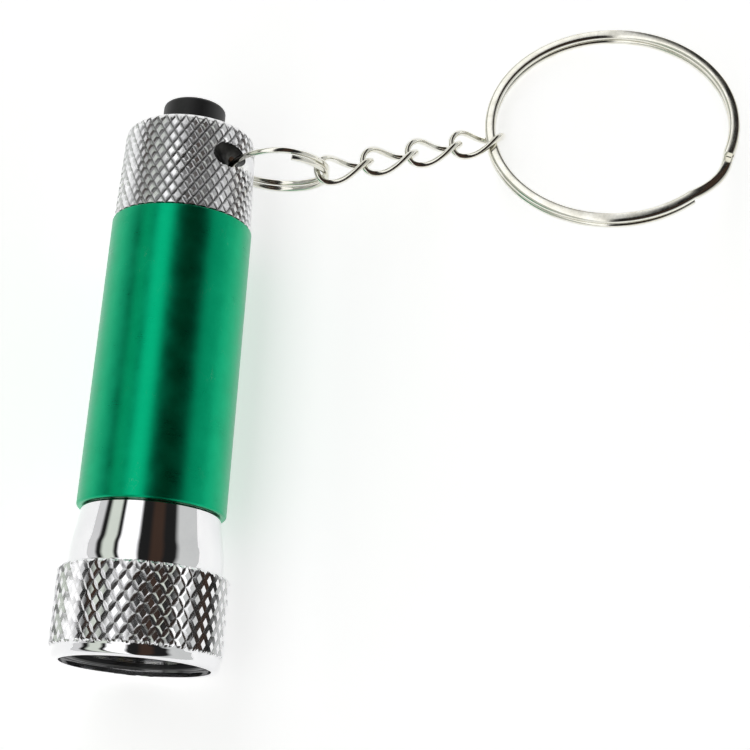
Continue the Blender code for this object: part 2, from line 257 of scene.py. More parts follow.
def bump(tree, shader, height, strength, distance_mm):
    made = node(tree, "ShaderNodeBump")
    made.inputs["Strength"].default_value = strength
    made.inputs["Distance"].default_value = distance_mm * MM
    tree.links.new(height, made.inputs["Height"])
    tree.links.new(made.outputs["Normal"], shader.inputs["Normal"])


def scratches(tree, vector, scale, share):
    """Thin short scratches: the narrow middle of a stretched noise, kept only in patches."""
    width = 0.006
    patch_edge = 0.06
    lines = combine(tree, "SUBTRACT", noise(tree, vector, scale, 2.0), 0.5)
    thin = remap(tree, combine(tree, "ABSOLUTE", lines, 0.0), 0.0, width, 1.0, 0.0)
    clouds = noise(tree, vector, scale * 0.31, 2.0)
    patches = remap(tree, clouds, 1.0 - share, 1.0 - share + patch_edge, 0.0, 1.0)
    return combine(tree, "MULTIPLY", thin, patches)


# ---------------------------------------------------------------- materials


def anodised_green():
    mat, tree, shader = new_material("anodised_green")
    drawn = noise(tree, stretched_coordinates(tree, (0.6, 5200.0, 1.0), True), 1.0, 5.0, 0.7)
    clouds = noise(tree, stretched_coordinates(tree, (2.2, 330.0, 1.0), True), 1.0, 4.0, 0.6)
    marks = scratches(tree, stretched_coordinates(tree, (9.0, 900.0, 1.0), True), 1.0, 0.42)
    tone = blend_colours(tree, remap(tree, clouds, 0.3, 0.72, 0.0, 1.0),
                         (0.001, 0.36, 0.165), (0.003, 0.45, 0.21))
    worn = blend_colours(tree, combine(tree, "MULTIPLY", marks, 0.45), tone, (0.12, 0.42, 0.26))
    tree.links.new(worn, shader.inputs["Base Color"])
    shader.inputs["Metallic"].default_value = 1.0
    rough = combine(tree, "ADD", remap(tree, clouds, 0.3, 0.75, 0.26, 0.36),
                    remap(tree, drawn, 0.2, 0.8, -0.03, 0.05))
    tree.links.new(rough, shader.inputs["Roughness"])
    bump(tree, shader, drawn, 0.12, 0.02)
    return mat


def bright_aluminium(name, roughness, line_strength, painted_groove_shade=1.0):
    """Turned and polished: fine rings from the lathe and faint smears.

    A shade value below 1 darkens the bottom of the knurl, where the mesh has a groove attribute: a
    painted shade in the knurl's grooves.
    """
    mat, tree, shader = new_material(name)
    rings = noise(tree, stretched_coordinates(tree, (0.4, 4200.0, 1.0), True), 1.0, 4.0, 0.7)
    smears = noise(tree, stretched_coordinates(tree, (260.0,) * 3), 1.0, 4.0, 0.6)
    colour = blend_colours(tree, remap(tree, smears, 0.35, 0.7, 0.0, 1.0),
                           (0.91, 0.91, 0.92), (0.83, 0.83, 0.85))
    if painted_groove_shade < 1.0:
        groove = node(tree, "ShaderNodeAttribute", attribute_name="groove").outputs["Fac"]
        # painted shade: the darker colour that the knurl's grooves are given
        painted_groove_colour = (0.85 * painted_groove_shade,) * 3
        colour = blend_colours(tree, remap(tree, groove, 0.4, 1.0, 0.0, 1.0), colour, painted_groove_colour)
    tree.links.new(colour, shader.inputs["Base Color"])
    shader.inputs["Metallic"].default_value = 1.0
    rough = remap(tree, smears, 0.35, 0.75, roughness, roughness * 1.8)
    tree.links.new(rough, shader.inputs["Roughness"])
    bump(tree, shader, rings, line_strength, 0.01)
    return mat


def nickel_wire():
    mat, tree, shader = new_material("nickel_wire")
    mottle = noise(tree, stretched_coordinates(tree, (420.0,) * 3), 1.0, 5.0, 0.6)
    colour = blend_colours(tree, remap(tree, mottle, 0.35, 0.7, 0.0, 1.0),
                           (0.84, 0.83, 0.77), (0.72, 0.70, 0.61))
    tree.links.new(colour, shader.inputs["Base Color"])
    shader.inputs["Metallic"].default_value = 1.0
    tree.links.new(remap(tree, mottle, 0.3, 0.75, 0.07, 0.2), shader.inputs["Roughness"])
    ripples = noise(tree, stretched_coordinates(tree, (2600.0,) * 3), 1.0, 3.0)
    bump(tree, shader, ripples, 0.08, 0.02)
    return mat


def moulded_plastic(name, colour, roughness, grain_mm=0.12, grain_strength=0.25):
    mat, tree, shader = new_material(name)
    grain_scale = 1.0 / (grain_mm * MM)
    grain = noise(tree, stretched_coordinates(tree, (grain_scale,) * 3), 1.0, 3.0)
    clouds = noise(tree, stretched_coordinates(tree, (300.0,) * 3), 1.0, 3.0)
    light = tuple(min(1.0, c * 1.35 + 0.003) for c in colour)
    tree.links.new(blend_colours(tree, clouds, colour, light), shader.inputs["Base Color"])
    rough = remap(tree, clouds, 0.3, 0.7, roughness * 0.85, roughness * 1.15)
    tree.links.new(rough, shader.inputs["Roughness"])
    bump(tree, shader, grain, grain_strength, 0.03)
    return mat


def drawn_metal(name, colour, roughness):
    mat, tree, shader = new_material(name)
    grain = noise(tree, stretched_coordinates(tree, (900.0, 3800.0, 900.0)), 1.0, 4.0)
    dark = tuple(c * 0.82 for c in colour)
    tree.links.new(blend_colours(tree, remap(tree, grain, 0.3, 0.7, 0.0, 1.0), colour, dark),
                   shader.inputs["Base Color"])
    shader.inputs["Metallic"].default_value = 1.0
    rough = remap(tree, grain, 0.3, 0.7, roughness, roughness * 1.6)
    tree.links.new(rough, shader.inputs["Roughness"])
    bump(tree, shader, grain, 0.15, 0.01)
    return mat


def clear_plastic(name, colour, roughness):
    mat, tree, shader = new_material(name)
    smears = noise(tree, stretched_coordinates(tree, (240.0,) * 3), 1.0, 3.0)
    rough = remap(tree, smears, 0.35, 0.75, roughness, roughness + 0.05)
    tree.links.new(rough, shader.inputs["Roughness"])
    shader.inputs["Base Color"].default_value = (*colour, 1.0)
    shader.inputs["Transmission Weight"].default_value = 1.0
    shader.inputs["IOR"].default_value = 1.49
    return mat


def studio_floor():
    """A light table: pale and faintly lit from below."""
    mat, _, shader = new_material("studio_floor")
    shader.inputs["Base Color"].default_value = (0.9, 0.9, 0.9, 1.0)
    shader.inputs["Roughness"].default_value = 0.6
    shader.inputs["Specular IOR Level"].default_value = 0.1
    shader.inputs["Emission Color"].default_value = (1.0, 1.0, 1.0, 1.0)
    shader.inputs["Emission Strength"].default_value = 0.6
    return mat


GREEN = anodised_green()
POLISHED = bright_aluminium("polished_aluminium", 0.035, 0.05)
# Both knurl materials paint shade into the grooves; the tail cap's painted shade is the darker.
KNURLED_HEAD = bright_aluminium("knurled_head", 0.14, 0.25, 0.8)
KNURLED_CAP = bright_aluminium("knurled_tail_cap", 0.24, 0.25, 0.45)
# The walls of the split ring's hole: metal painted nearly black, a painted shade for the inside of
# the hole.
DRILLED_PAINTED_SHADE = drawn_metal("drilled_hole_painted_shade", (0.1, 0.1, 0.1), 0.35)
NICKEL = nickel_wire()
BUTTON_BLACK = moulded_plastic("button_black", (0.006, 0.006, 0.007), 0.5)
PLASTIC_BLACK = moulded_plastic("plastic_black", (0.012, 0.012, 0.013), 0.35)
RUBBER = moulded_plastic("rubber_black", (0.02, 0.02, 0.02), 0.65)
CLEAR = clear_plastic("lens_clear", (0.97, 0.98, 1.0), 0.01)
LED_EPOXY = clear_plastic("led_epoxy", (0.98, 0.98, 0.96), 0.02)
PHOSPHOR = moulded_plastic("led_phosphor", (0.85, 0.72, 0.12), 0.6)
REFLECTOR = drawn_metal("reflector_metallising", (0.88, 0.88, 0.9), 0.08)
BOARD = moulded_plastic("board_green", (0.02, 0.16, 0.05), 0.35)
SPRING = drawn_metal("spring_steel", (0.62, 0.62, 0.64), 0.2)
BRASS = drawn_metal("turned_brass", (0.80, 0.58, 0.26), 0.2)
CELL_CAN = drawn_metal("cell_can", (0.78, 0.78, 0.79), 0.15)
CARD = moulded_plastic("wound_card", (0.62, 0.56, 0.44), 0.8, 0.3, 0.5)

# ---------------------------------------------------------------- mesh helpers


def torch_point(r, angle, s):
    """World point at radius r and station s in mm. Angle 0 is towards +X and a quarter turn is up."""
    return Vector((AXIS_X + r * MM * math.cos(angle), BEZEL_Y + s * MM,
                   AXIS_Z + r * MM * math.sin(angle)))


def rings_mesh(name, rings, materials, looped, picks=None, diagonal=None):
    """A mesh through rings of points. A looped one joins its last ring to its first.

    picks gives the material index of each strip, and diagonal says how a quad is split.
    """
    mesh = bpy.data.meshes.new(name)
    columns = len(rings[0])
    vertices = [point for ring in rings for point in ring]
    faces = []
    indices = []
    strips = len(rings) if looped else len(rings) - 1
    for j in range(strips):
        low = j * columns
        high = ((j + 1) % len(rings)) * columns
        pick = picks[j] if picks else 0
        for i in range(columns):
            k = (i + 1) % columns
            a, b, c, d = low + i, low + k, high + k, high + i
            split = diagonal(i, j) if diagonal else None
            if split is None:
                faces.append((a, b, c, d))
                indices.append(pick)
            else:
                faces += [(a, b, c), (a, c, d)] if split else [(a, b, d), (b, c, d)]
                indices += [pick, pick]
    if not looped:
        faces.append(tuple(reversed(range(columns))))
        faces.append(tuple(range((len(rings) - 1) * columns, len(rings) * columns)))
        indices += [picks[0] if picks else 0, picks[-1] if picks else 0]
    mesh.from_pydata(vertices, [], faces)
    for mat in materials:
        mesh.materials.append(mat)
    mesh.polygons.foreach_set("material_index", indices)
    mesh.shade_smooth()
    return mesh


def face_outwards(mesh):
    shape = bmesh.new()
    shape.from_mesh(mesh)
    bmesh.ops.recalc_face_normals(shape, faces=shape.faces)
    shape.to_mesh(mesh)
    shape.free()


def finish_piece(name, mesh, body, stands_for=(), sharp_degrees=SHARP_DEGREES):
    face_outwards(mesh)
    mesh.set_sharp_from_angle(angle=math.radians(sharp_degrees))
    obj = bpy.data.objects.new(name, mesh)
    bpy.context.scene.collection.objects.link(obj)
    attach(obj, body)
    if stands_for:
        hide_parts(*stands_for)
    return obj


def turned_ring(r, s, columns):
    return [torch_point(r, 2 * math.pi * i / columns, s) for i in range(columns)]


def arc(centre_r, centre_s, radius, start_deg, end_deg, steps):
    """(r, s) points on a round edge: 0 degrees points outwards and 90 degrees to the tail."""
    points = []
    for i in range(steps + 1):
        angle = math.radians(start_deg + (end_deg - start_deg) * i / steps)
        points.append((centre_r + radius * math.cos(angle), centre_s + radius * math.sin(angle)))
    return points


def turned_piece(name, outline, mat, body, stands_for, looped=True, columns=ROUND):
    rings = [turned_ring(r, s, columns) for r, s in outline]
    mesh = rings_mesh(name, rings, [mat], looped)
    return finish_piece(name, mesh, body, stands_for)


def swept_mesh(name, stations, section, materials, looped):
    """A bar along stations of (centre, across, up), with the section's points in mm."""
    rings = []
    for centre, across, up in stations:
        rings.append([centre + (across * x + up * y) * MM for x, y in section])
    return rings_mesh(name, rings, materials, looped)


def round_section(diameter, sides):
    angles = [2 * math.pi * i / sides for i in range(sides)]
    return [(diameter / 2 * math.cos(angle), diameter / 2 * math.sin(angle)) for angle in angles]


def transported_stations(points, looped):
    """Frames carried along a path with as little twist as possible."""
    count = len(points)
    tangents = []
    for i in range(count):
        if looped:
            step = points[(i + 1) % count] - points[i - 1]
        else:
            step = points[min(i + 1, count - 1)] - points[max(i - 1, 0)]
        tangents.append(step.normalized())
    across = tangents[0].orthogonal().normalized()
    stations = []
    for i in range(count):
        if i:
            turn = tangents[i - 1].rotation_difference(tangents[i])
            across = turn @ across
        across = (across - tangents[i] * across.dot(tangents[i])).normalized()
        stations.append([points[i], across, tangents[i].cross(across)])
    if looped:
        turn = tangents[-1].rotation_difference(tangents[0])
        closing = turn @ stations[-1][1]
        first = stations[0][1]
        angle = math.atan2(closing.cross(first).dot(tangents[0]), closing.dot(first))
        for i, entry in enumerate(stations):
            spin = Matrix.Rotation(angle * i / count, 3, tangents[i])
            entry[1] = spin @ entry[1]
            entry[2] = spin @ entry[2]
    return stations


# ---------------------------------------------------------------- knurling


def knurl_row_step(radius):
    """Distance between grid rows that puts every groove on the grid's diagonals."""
    width = 2 * math.pi * radius / KNURL_AROUND
    return width * KNURL_ASPECT / (2 * KNURL_FINENESS)


def saw(phase):
    """0 at whole numbers and 1 half way between them."""
    return 1 - abs(2 * (phase - math.floor(phase)) - 1)


def knurl_phases(i, s, start, row_step):
    round_phase = i / (2 * KNURL_FINENESS)
    along_phase = (s - start) / (row_step * 2 * KNURL_FINENESS)
    return round_phase + along_phase, round_phase - along_phase


def knurl_drop(i, s, start, row_step):
    """How far the surface lies under the crest, in mm."""
    first, second = knurl_phases(i, s, start, row_step)
    height = min(saw(first), saw(second), KNURL_FLAT) / KNURL_FLAT
    return KNURL_DEPTH * (1 - height)


def knurled_shell(name, before, band, after, crest, materials, depth_share=None):
    """A looped turned shell with one knurled band.

    before and after are plain (r, s) outlines. band is (start s, end s, outline), where the outline
    gives the radius at s that cuts the diamonds down. crest gives the radius of their tops at s.
    depth_share gives the share of the knurl's depth that is left at a point. The mesh's groove
    attribute goes from 0 on the crests to 1 at the bottom, and the knurl materials darken the grooves
    by it as painted shade.
    """
    start, end, limit = band
    columns = KNURL_AROUND * 2 * KNURL_FINENESS
    row_step = knurl_row_step(crest((start + end) / 2)) * (1 if end > start else -1)
    rows = round(abs(end - start) / abs(row_step))
    row_step = (end - start) / rows
    stations = [start + row_step * j for j in range(rows + 1)]
    rings = [turned_ring(r, s, columns) for r, s in before]
    grooves = [0.0] * (columns * len(before))
    first_band_row = len(rings)
    for s in stations:
        ring = []
        for i in range(columns):
            angle = 2 * math.pi * i / columns
            drop = knurl_drop(i, s, start, abs(row_step))
            if depth_share:
                drop *= depth_share(torch_point(crest(s), angle, s))
            ring.append(torch_point(min(crest(s) - drop, limit(s)), angle, s))
            grooves.append(drop / KNURL_DEPTH)
        rings.append(ring)
    last_band_row = len(rings) - 1
    rings += [turned_ring(r, s, columns) for r, s in after]
    grooves += [0.0] * (columns * len(after))
    picks = [1 if first_band_row <= j < last_band_row else 0 for j in range(len(rings))]

    def diagonal(i, j):
        if not first_band_row <= j < last_band_row:
            return None
        s = stations[j - first_band_row] + row_step / 2
        first, second = knurl_phases(i + 0.5, s, start, abs(row_step))
        return (saw(first) > saw(second)) == (row_step > 0)

    mesh = rings_mesh(name, rings, materials, True, picks, diagonal)
    # the groove attribute is the mask for the painted shade in the knurl's grooves
    mesh.attributes.new("groove", "FLOAT", "POINT").data.foreach_set("value", grooves)
    return mesh


# ---------------------------------------------------------------- head


def make_head():
    neck_end = BARREL_FRONT - SEAM
    before = [(5.6, 9.0), (5.6, 17.4), (6.1, 17.4), (SPIGOT_RADIUS, 17.2),
              (SPIGOT_RADIUS, neck_end + 0.02), (6.32, neck_end), (6.72, neck_end),
              (6.8, neck_end - 0.08)]
    cone_top = Vector((6.8, neck_end - 0.08))
    cone_foot = Vector((7.42, 11.2))
    cone_rows = 8
    for i in range(1, cone_rows + 1):
        point = cone_top.lerp(cone_foot, i / cone_rows)
        before.append((point.x, point.y))
    before += [(7.46, 10.95), (7.49, 10.7), (7.5, 10.4), (7.5, 9.6), (7.5, 9.0), (7.53, 8.93),
               (8.0, 8.9)]

    def limit(s):
        if s > HEAD_BAND_END:
            return HEAD_RADIUS - (s - HEAD_BAND_END) * HEAD_CHAMFER_SLOPE
        if s < HEAD_BAND_START:
            return HEAD_RADIUS - (HEAD_BAND_START - s) * HEAD_CHAMFER_SLOPE
        return HEAD_RADIUS

    after = [(8.08, 1.1), (8.02, 1.0)]
    after += arc(7.6, 0.5, 0.5, 20, -90, 8)
    after += [(7.3, 0.0), (HEAD_BORE, 0.05), (HEAD_BORE, 8.95)]
    band = (8.84, 1.16, limit)
    mesh = knurled_shell("head_body", before, band, after, lambda s: HEAD_RADIUS,
                         [POLISHED, KNURLED_HEAD])
    finish_piece("head_body", mesh, "flashlight_body", ["head_shell"])


def make_front_stack():
    bore = HEAD_BORE - SEAM
    retainer = [(6.5, 0.75), (6.65, 0.6), (bore - 0.1, 0.6), (bore, 0.7), (bore, 1.2), (6.5, 1.2)]
    turned_piece("bezel_snap_ring", retainer, PLASTIC_BLACK, "flashlight_body",
                 ["lens_retaining_ring"])
    lens = [(TIP, 1.36), (4.0, 1.36), (bore - 0.15, 1.36), (bore, 1.5), (bore, 2.2),
            (bore - 0.15, 2.35), (4.0, 2.35), (TIP, 2.35)]
    turned_piece("lens_disc", lens, CLEAR, "flashlight_body", ["lens"], looped=False)
    make_reflector(bore)
    for number in range(LED_COUNT):
        make_led(number)


def led_place(number):
    """A frame on an LED's axis, with Z towards the tail."""
    angle = math.radians(90 + 360 / LED_COUNT * number)
    centre = torch_point(LED_PITCH_RADIUS, -angle, 0)
    return Matrix.Translation(centre) @ Matrix.Rotation(math.radians(-90), 4, "X")


def turned_about(place, outline, columns):
    """Rings of points for (r, s) turned about the Z axis of a frame."""
    angles = [2 * math.pi * i / columns for i in range(columns)]
    return [[place @ (Vector((r * math.cos(angle), r * math.sin(angle), s)) * MM) for angle in angles]
            for r, s in outline]


def make_reflector(bore):
    plate = [(TIP, 4.2), (bore - 0.1, 4.2), (bore, 4.3), (bore, 7.2), (bore - 0.1, 7.3), (TIP, 7.3)]
    rings = [turned_ring(r, s, 96) for r, s in plate]
    mesh = rings_mesh("led_reflector_plate", rings, [REFLECTOR], False)
    obj = finish_piece("led_reflector_plate", mesh, "flashlight_body",
                       ["led_holder"])
    cups = [(TIP, 3.6), (2.56, 3.6), (2.56, 4.35), (2.45, 4.6), (2.45, 7.9), (TIP, 7.9)]
    for number in range(LED_COUNT):
        cutter_rings = turned_about(led_place(number), cups, 48)
        cut_with(obj, rings_mesh("cup_cutter", cutter_rings, [REFLECTOR], False))


def cut_with(obj, cutter_mesh):
    """Cuts a piece and keeps only the result."""
    face_outwards(cutter_mesh)
    cutter = bpy.data.objects.new("cutter", cutter_mesh)
    bpy.context.scene.collection.objects.link(cutter)
    boolean = obj.modifiers.new("cut", "BOOLEAN")
    boolean.operation = "DIFFERENCE"
    boolean.object = cutter
    boolean.material_mode = "INDEX"
    bpy.context.view_layer.update()
    evaluated = obj.evaluated_get(bpy.context.evaluated_depsgraph_get())
    result = bpy.data.meshes.new_from_object(evaluated)
    obj.modifiers.clear()
    obj.data = result
    bpy.data.objects.remove(cutter, do_unlink=True)
    result.set_sharp_from_angle(angle=math.radians(SHARP_DEGREES))


def make_led(number):
    dome_centre = 4.9
    dome_stretch = 2.0
    outline = [(TIP, 7.45), (LED_RADIUS, 7.45), (LED_RADIUS, dome_centre + 0.5)]
    dome = arc(0, dome_centre, 1.0, 0, -88, 14)
    outline += [(r * LED_RADIUS, dome_centre + (s - dome_centre) * dome_stretch) for r, s in dome]
    rings = turned_about(led_place(number), outline, 48)
    mesh = rings_mesh(f"led_dome_{number + 1}", rings, [LED_EPOXY], False)
    finish_piece(f"led_dome_{number + 1}", mesh, "flashlight_body",
                 [f"led_{number + 1}"])
    chip = [(TIP, 6.9), (0.9, 6.9), (1.15, 6.05), (1.0, 6.0), (0.75, 6.45), (0.6, 6.5), (TIP, 6.42)]
    rings = turned_about(led_place(number), chip, 32)
    mesh = rings_mesh(f"led_chip_cup_{number + 1}", rings, [PHOSPHOR], False)
    finish_piece(f"led_chip_cup_{number + 1}", mesh, "flashlight_body")


# ---------------------------------------------------------------- barrel


def make_barrel():
    rear = BARREL_RADIUS - BARREL_TAPER
    rear_edge = 0.12
    front_edge = 0.3
    outline = [(BARREL_BORE, BARREL_REAR - 0.05), (BARREL_BORE + 0.05, BARREL_REAR)]
    outline += arc(rear - rear_edge, BARREL_REAR - rear_edge, rear_edge, 90, 0, 5)
    count = 24
    for i in range(1, count):
        share = i / count
        length = BARREL_FRONT + front_edge - BARREL_REAR + rear_edge
        outline.append((rear + BARREL_TAPER * share, BARREL_REAR - rear_edge + length * share))
    outline += arc(BARREL_RADIUS - front_edge, BARREL_FRONT + front_edge, front_edge, 0, -90, 7)
    outline += [(BARREL_BORE + 0.05, BARREL_FRONT), (BARREL_BORE, BARREL_FRONT + 0.05)]
    turned_piece("barrel_body", outline, GREEN, "flashlight_body", ["barrel_tube"],
                 columns=256)


# ---------------------------------------------------------------- tail cap and button


def ring_frame():
    """Origin on the axis of the split ring's hole, X outwards, Z along the hole."""
    outwards = Vector((math.cos(SPLIT_RING_AZIMUTH), 0, math.sin(SPLIT_RING_AZIMUTH)))
    along = Vector((-math.sin(SPLIT_RING_AZIMUTH), math.tan(SPLIT_RING_LEAN),
                    math.cos(SPLIT_RING_AZIMUTH))).normalized()
    across = along.cross(outwards)
    origin = torch_point(RING_HOLE_OFFSET, SPLIT_RING_AZIMUTH, SPLIT_RING_STATION)
    return Matrix.Translation(origin) @ Matrix((outwards, across, along)).transposed().to_4x4()


HOLE_FRAME_INVERSE = ring_frame().inverted()


def cap_profile_radius(s):
    """Outer radius of the tail cap, with its round shoulder."""
    shoulder_start = CAP_END - CAP_SHOULDER
    along = (s - CAP_BASE) / (shoulder_start - CAP_BASE)
    taper = CAP_RADIUS - CAP_TAPER * min(1.0, max(0.0, along))
    if s <= shoulder_start:
        return taper
    rise = min(s - shoulder_start, CAP_SHOULDER)
    return taper - CAP_SHOULDER + math.sqrt(max(0.0, CAP_SHOULDER ** 2 - rise ** 2))


def thread_rows(low, high):
    """Stations of the rows on the cap's thread, six to a turn."""
    steps = round((high - low) / (THREAD_PITCH / 6))
    return [low + (high - low) * i / steps for i in range(steps + 1)]


def hole_land(point):
    """Share of the knurl's depth at a point: none on the polished land outside the ring's hole."""
    place = HOLE_FRAME_INVERSE @ point / MM
    distance = math.hypot(place.x - HOLE_LAND_OFFSET, place.y)
    share = min(max((distance - HOLE_LAND_RADIUS) / HOLE_LAND_RADIUS, 0.0), 1.0)
    return share * share * (3 - 2 * share)


def make_tail_cap():
    materials = [POLISHED, KNURLED_CAP, DRILLED_PAINTED_SHADE]
    knurl_end = CAP_END - 0.28
    columns = KNURL_AROUND * 2 * KNURL_FINENESS
    band = (CAP_BASE + 0.02, knurl_end, cap_profile_radius)
    before = [(SPIGOT_RADIUS, CAP_BASE), (cap_profile_radius(CAP_BASE) - 0.22, CAP_BASE)]
    after = []
    shoulder_rows = 5
    for i in range(1, shoulder_rows + 1):
        s = knurl_end + (CAP_END - knurl_end) * math.sin(math.pi / 2 * i / shoulder_rows)
        after.append((cap_profile_radius(s), s))
    after += [(BUTTON_RADIUS + 1.2, CAP_END), (BUTTON_RADIUS + SEAM + 0.12, CAP_END),
              (BUTTON_RADIUS + SEAM, CAP_END - 0.12), (BUTTON_RADIUS + SEAM, CAP_WALL_START),
              (5.3, CAP_WALL_START), (5.3, CAP_SPIGOT), (6.0, CAP_SPIGOT)]
    mesh = knurled_shell("tail_cap_body", before, band, after, cap_crest, materials, hole_land)
    add_thread(mesh, columns)
    obj = finish_piece("tail_cap_body", mesh, "tail_cap", ["tail_cap_shell"])
    hole_radius = RING_HOLE_RADIUS + HOLE_CLEARANCE
    reach = 9.0
    # the hole's walls take the near-black metal, which is painted shade
    drilled = materials.index(DRILLED_PAINTED_SHADE)
    hole = [(TIP, -reach), (hole_radius, -reach), (hole_radius, reach), (TIP, reach)]
    cutter = rings_mesh("hole_cutter", turned_about(ring_frame(), hole, 64), materials, False,
                        [drilled] * 3)
    cut_with(obj, cutter)


def cap_crest(s):
    """Radius of the knurl's tops: it keeps on past the shoulder, which then cuts the tops off."""
    return cap_profile_radius(min(s, CAP_END - CAP_SHOULDER))


def add_thread(mesh, columns):
    """Puts the male thread and the seal's groove on the spigot, as rings joined to the shell."""
    shape = bmesh.new()
    shape.from_mesh(mesh)
    shape.verts.ensure_lookup_table()
    last = shape.verts[-columns:]
    first = shape.verts[:columns]
    joining = [face for face in shape.faces
               if not set(face.verts).isdisjoint(last) and not set(face.verts).isdisjoint(first)]
    bmesh.ops.delete(shape, geom=joining, context="FACES_ONLY")
    groove = [(SPIGOT_RADIUS, CAP_BASE - 1.25), (5.92, CAP_BASE - 1.2), (5.92, CAP_BASE - 0.2),
              (6.28, CAP_BASE - 0.15)]
    thread_start = CAP_SPIGOT + 0.15
    thread_end = CAP_BASE - 1.45
    runout = 0.4
    rows = []
    for s in thread_rows(thread_start, thread_end):
        fade = min(1.0, (s - thread_start) / runout, (thread_end - s) / runout + 0.05)
        row = []
        for i in range(columns):
            ridge = saw(s / THREAD_PITCH - i / columns)
            row.append((SPIGOT_RADIUS - THREAD_DEPTH * (1 - ridge) * max(0.0, fade), s))
        rows.append(row)
    rows += [[point] * columns for point in groove]
    previous = last
    for row in rows:
        ring = [shape.verts.new(torch_point(r, 2 * math.pi * i / columns, s))
                for i, (r, s) in enumerate(row)]
        join_rings(shape, previous, ring)
        previous = ring
    join_rings(shape, previous, first)
    shape.to_mesh(mesh)
    shape.free()


def join_rings(shape, low, high):
    count = len(low)
    for i in range(count):
        k = (i + 1) % count
        shape.faces.new((low[i], low[k], high[k], high[i]))


def make_button():
    edge = 0.5
    outline = [(TIP, BUTTON_TOP), (1.2, BUTTON_TOP - 0.01), (2.2, BUTTON_TOP - 0.04)]
    outline += arc(BUTTON_RADIUS - edge, BUTTON_TOP - 0.06 - edge, edge, 88, 0, 10)
    outline += [(BUTTON_RADIUS, CAP_END + 0.4), (BUTTON_RADIUS, BUTTON_FLANGE_TOP),
                (BUTTON_FLANGE_RADIUS, BUTTON_FLANGE_TOP), (BUTTON_FLANGE_RADIUS, BUTTON_BASE),
                (TIP, BUTTON_BASE)]
    turned_piece("button_cap", outline, BUTTON_BLACK, "push_button", ["button"],
                 looped=False)


def make_button_spring():
    """A coil between the switch's cup and the button."""
    low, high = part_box("button_spring")
    length = (high.y - low.y) / MM
    half_wire = BUTTON_SPRING_WIRE / 2
    radius = (high.x - low.x) / 2 / MM - half_wire
    start = station(low.y) + half_wire
    rise = length - BUTTON_SPRING_WIRE
    steps = BUTTON_SPRING_TURNS * BUTTON_SPRING_STEPS
    points = [torch_point(radius, 2 * math.pi * BUTTON_SPRING_TURNS * i / steps,
                          start + rise * i / steps) for i in range(steps + 1)]
    mesh = swept_mesh("button_spring_coil", transported_stations(points, False),
                      round_section(BUTTON_SPRING_WIRE, 12), [SPRING], False)
    obj = finish_piece("button_spring_coil", mesh, "tail_cap", ["button_spring"], 60)
    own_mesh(obj)


# ---------------------------------------------------------------- rings and chain


def split_ring_stations(radius, rise, place, gap_middle, half_gap, hand, bulge, steps_per_turn):
    """(centre, across, up) along a two-turn ring in the XY plane of a frame.

    The wire starts half_gap past the gap's middle on the lower level, changes level as it passes
    the gap, and ends half_gap short of it. hand is 1 for an anticlockwise wire, seen from +Z. The
    wire lies bulge further out where it is halfway past the gap.
    """
    sweep = 4 * math.pi - 2 * half_gap
    steps = 2 * steps_per_turn
    turn_frame = place.to_3x3()
    up = turn_frame @ Vector((0, 0, 1))
    stations = []
    for i in range(steps + 1):
        angle = half_gap + sweep * i / steps
        share = min(max((angle - 2 * math.pi) / (2 * half_gap) + 0.5, 0.0), 1.0)
        height = (share * share * (3 - 2 * share) - 0.5) * rise
        turn = gap_middle + hand * angle
        outwards = Vector((math.cos(turn), math.sin(turn), 0))
        reach = radius + bulge * 4 * share * (1 - share)
        centre = place @ ((outwards * reach + Vector((0, 0, height))) * MM)
        stations.append((centre, turn_frame @ outwards, up))
    return stations


def ring_sagitta():
    """Depth of the split ring's arc between the two mouths of its hole."""
    half_chord = math.sqrt(RING_HOLE_CAP_RADIUS ** 2 - RING_ENTRY_OFFSET ** 2)
    return SPLIT_RING_RADIUS - math.sqrt(SPLIT_RING_RADIUS ** 2 - half_chord ** 2)


def split_ring_frame():
    centre_offset = SPLIT_RING_RADIUS - ring_sagitta() / 2
    return (ring_frame() @ Matrix.Translation((centre_offset * MM, 0, 0))
            @ Matrix.Rotation(math.radians(90), 4, "X"))


def make_split_ring():
    stations = split_ring_stations(SPLIT_RING_RADIUS, SPLIT_RING_RISE, split_ring_frame(),
                                   SPLIT_RING_GAP, SPLIT_RING_HALF_GAP, hand=1, bulge=0,
                                   steps_per_turn=100)
    section = round_section(SPLIT_RING_WIRE - WIRE_CLEARANCE, 16)
    mesh = swept_mesh("split_ring_wire", stations, section, [NICKEL], False)
    finish_piece("split_ring_wire", mesh, "split_ring", ["small_split_ring"], 50)


def chain_axes():
    """Unit vectors along the chain, across it, and up from it."""
    along = Vector((math.cos(CHAIN_DROP) * math.cos(CHAIN_YAW),
                    math.cos(CHAIN_DROP) * math.sin(CHAIN_YAW), -math.sin(CHAIN_DROP)))
    level = Vector((-math.sin(CHAIN_YAW), math.cos(CHAIN_YAW), 0))
    across = Matrix.Rotation(CHAIN_ROLL, 3, along) @ level
    return along, across, along.cross(across)


def chain_hook():
    angle = CHAIN_HOOK_ANGLE - SPLIT_RING_AZIMUTH
    outwards = Vector((math.cos(angle), math.sin(angle), 0))
    return split_ring_frame() @ (outwards * SPLIT_RING_RADIUS * MM)


HOOK_TO_LINK = LINK_LENGTH / 2 - LINK_WIRE - SPLIT_RING_WIRE / 2 - HOOK_PLAY
LINK_PITCH = LINK_LENGTH - 2 * LINK_WIRE - LINK_GAP
LINK_TO_KEY_RING = LINK_LENGTH / 2 - LINK_WIRE - KEY_RING_WIRE_WIDTH / 2 - KEY_RING_PLAY


def link_centre(number):
    return chain_hook() + chain_axes()[0] * (HOOK_TO_LINK + LINK_PITCH * number) * MM


def rounded(value):
    """A sine or cosine pushed outwards, which fills the corners of an oval."""
    return math.copysign(abs(value) ** LINK_SQUARENESS, value)


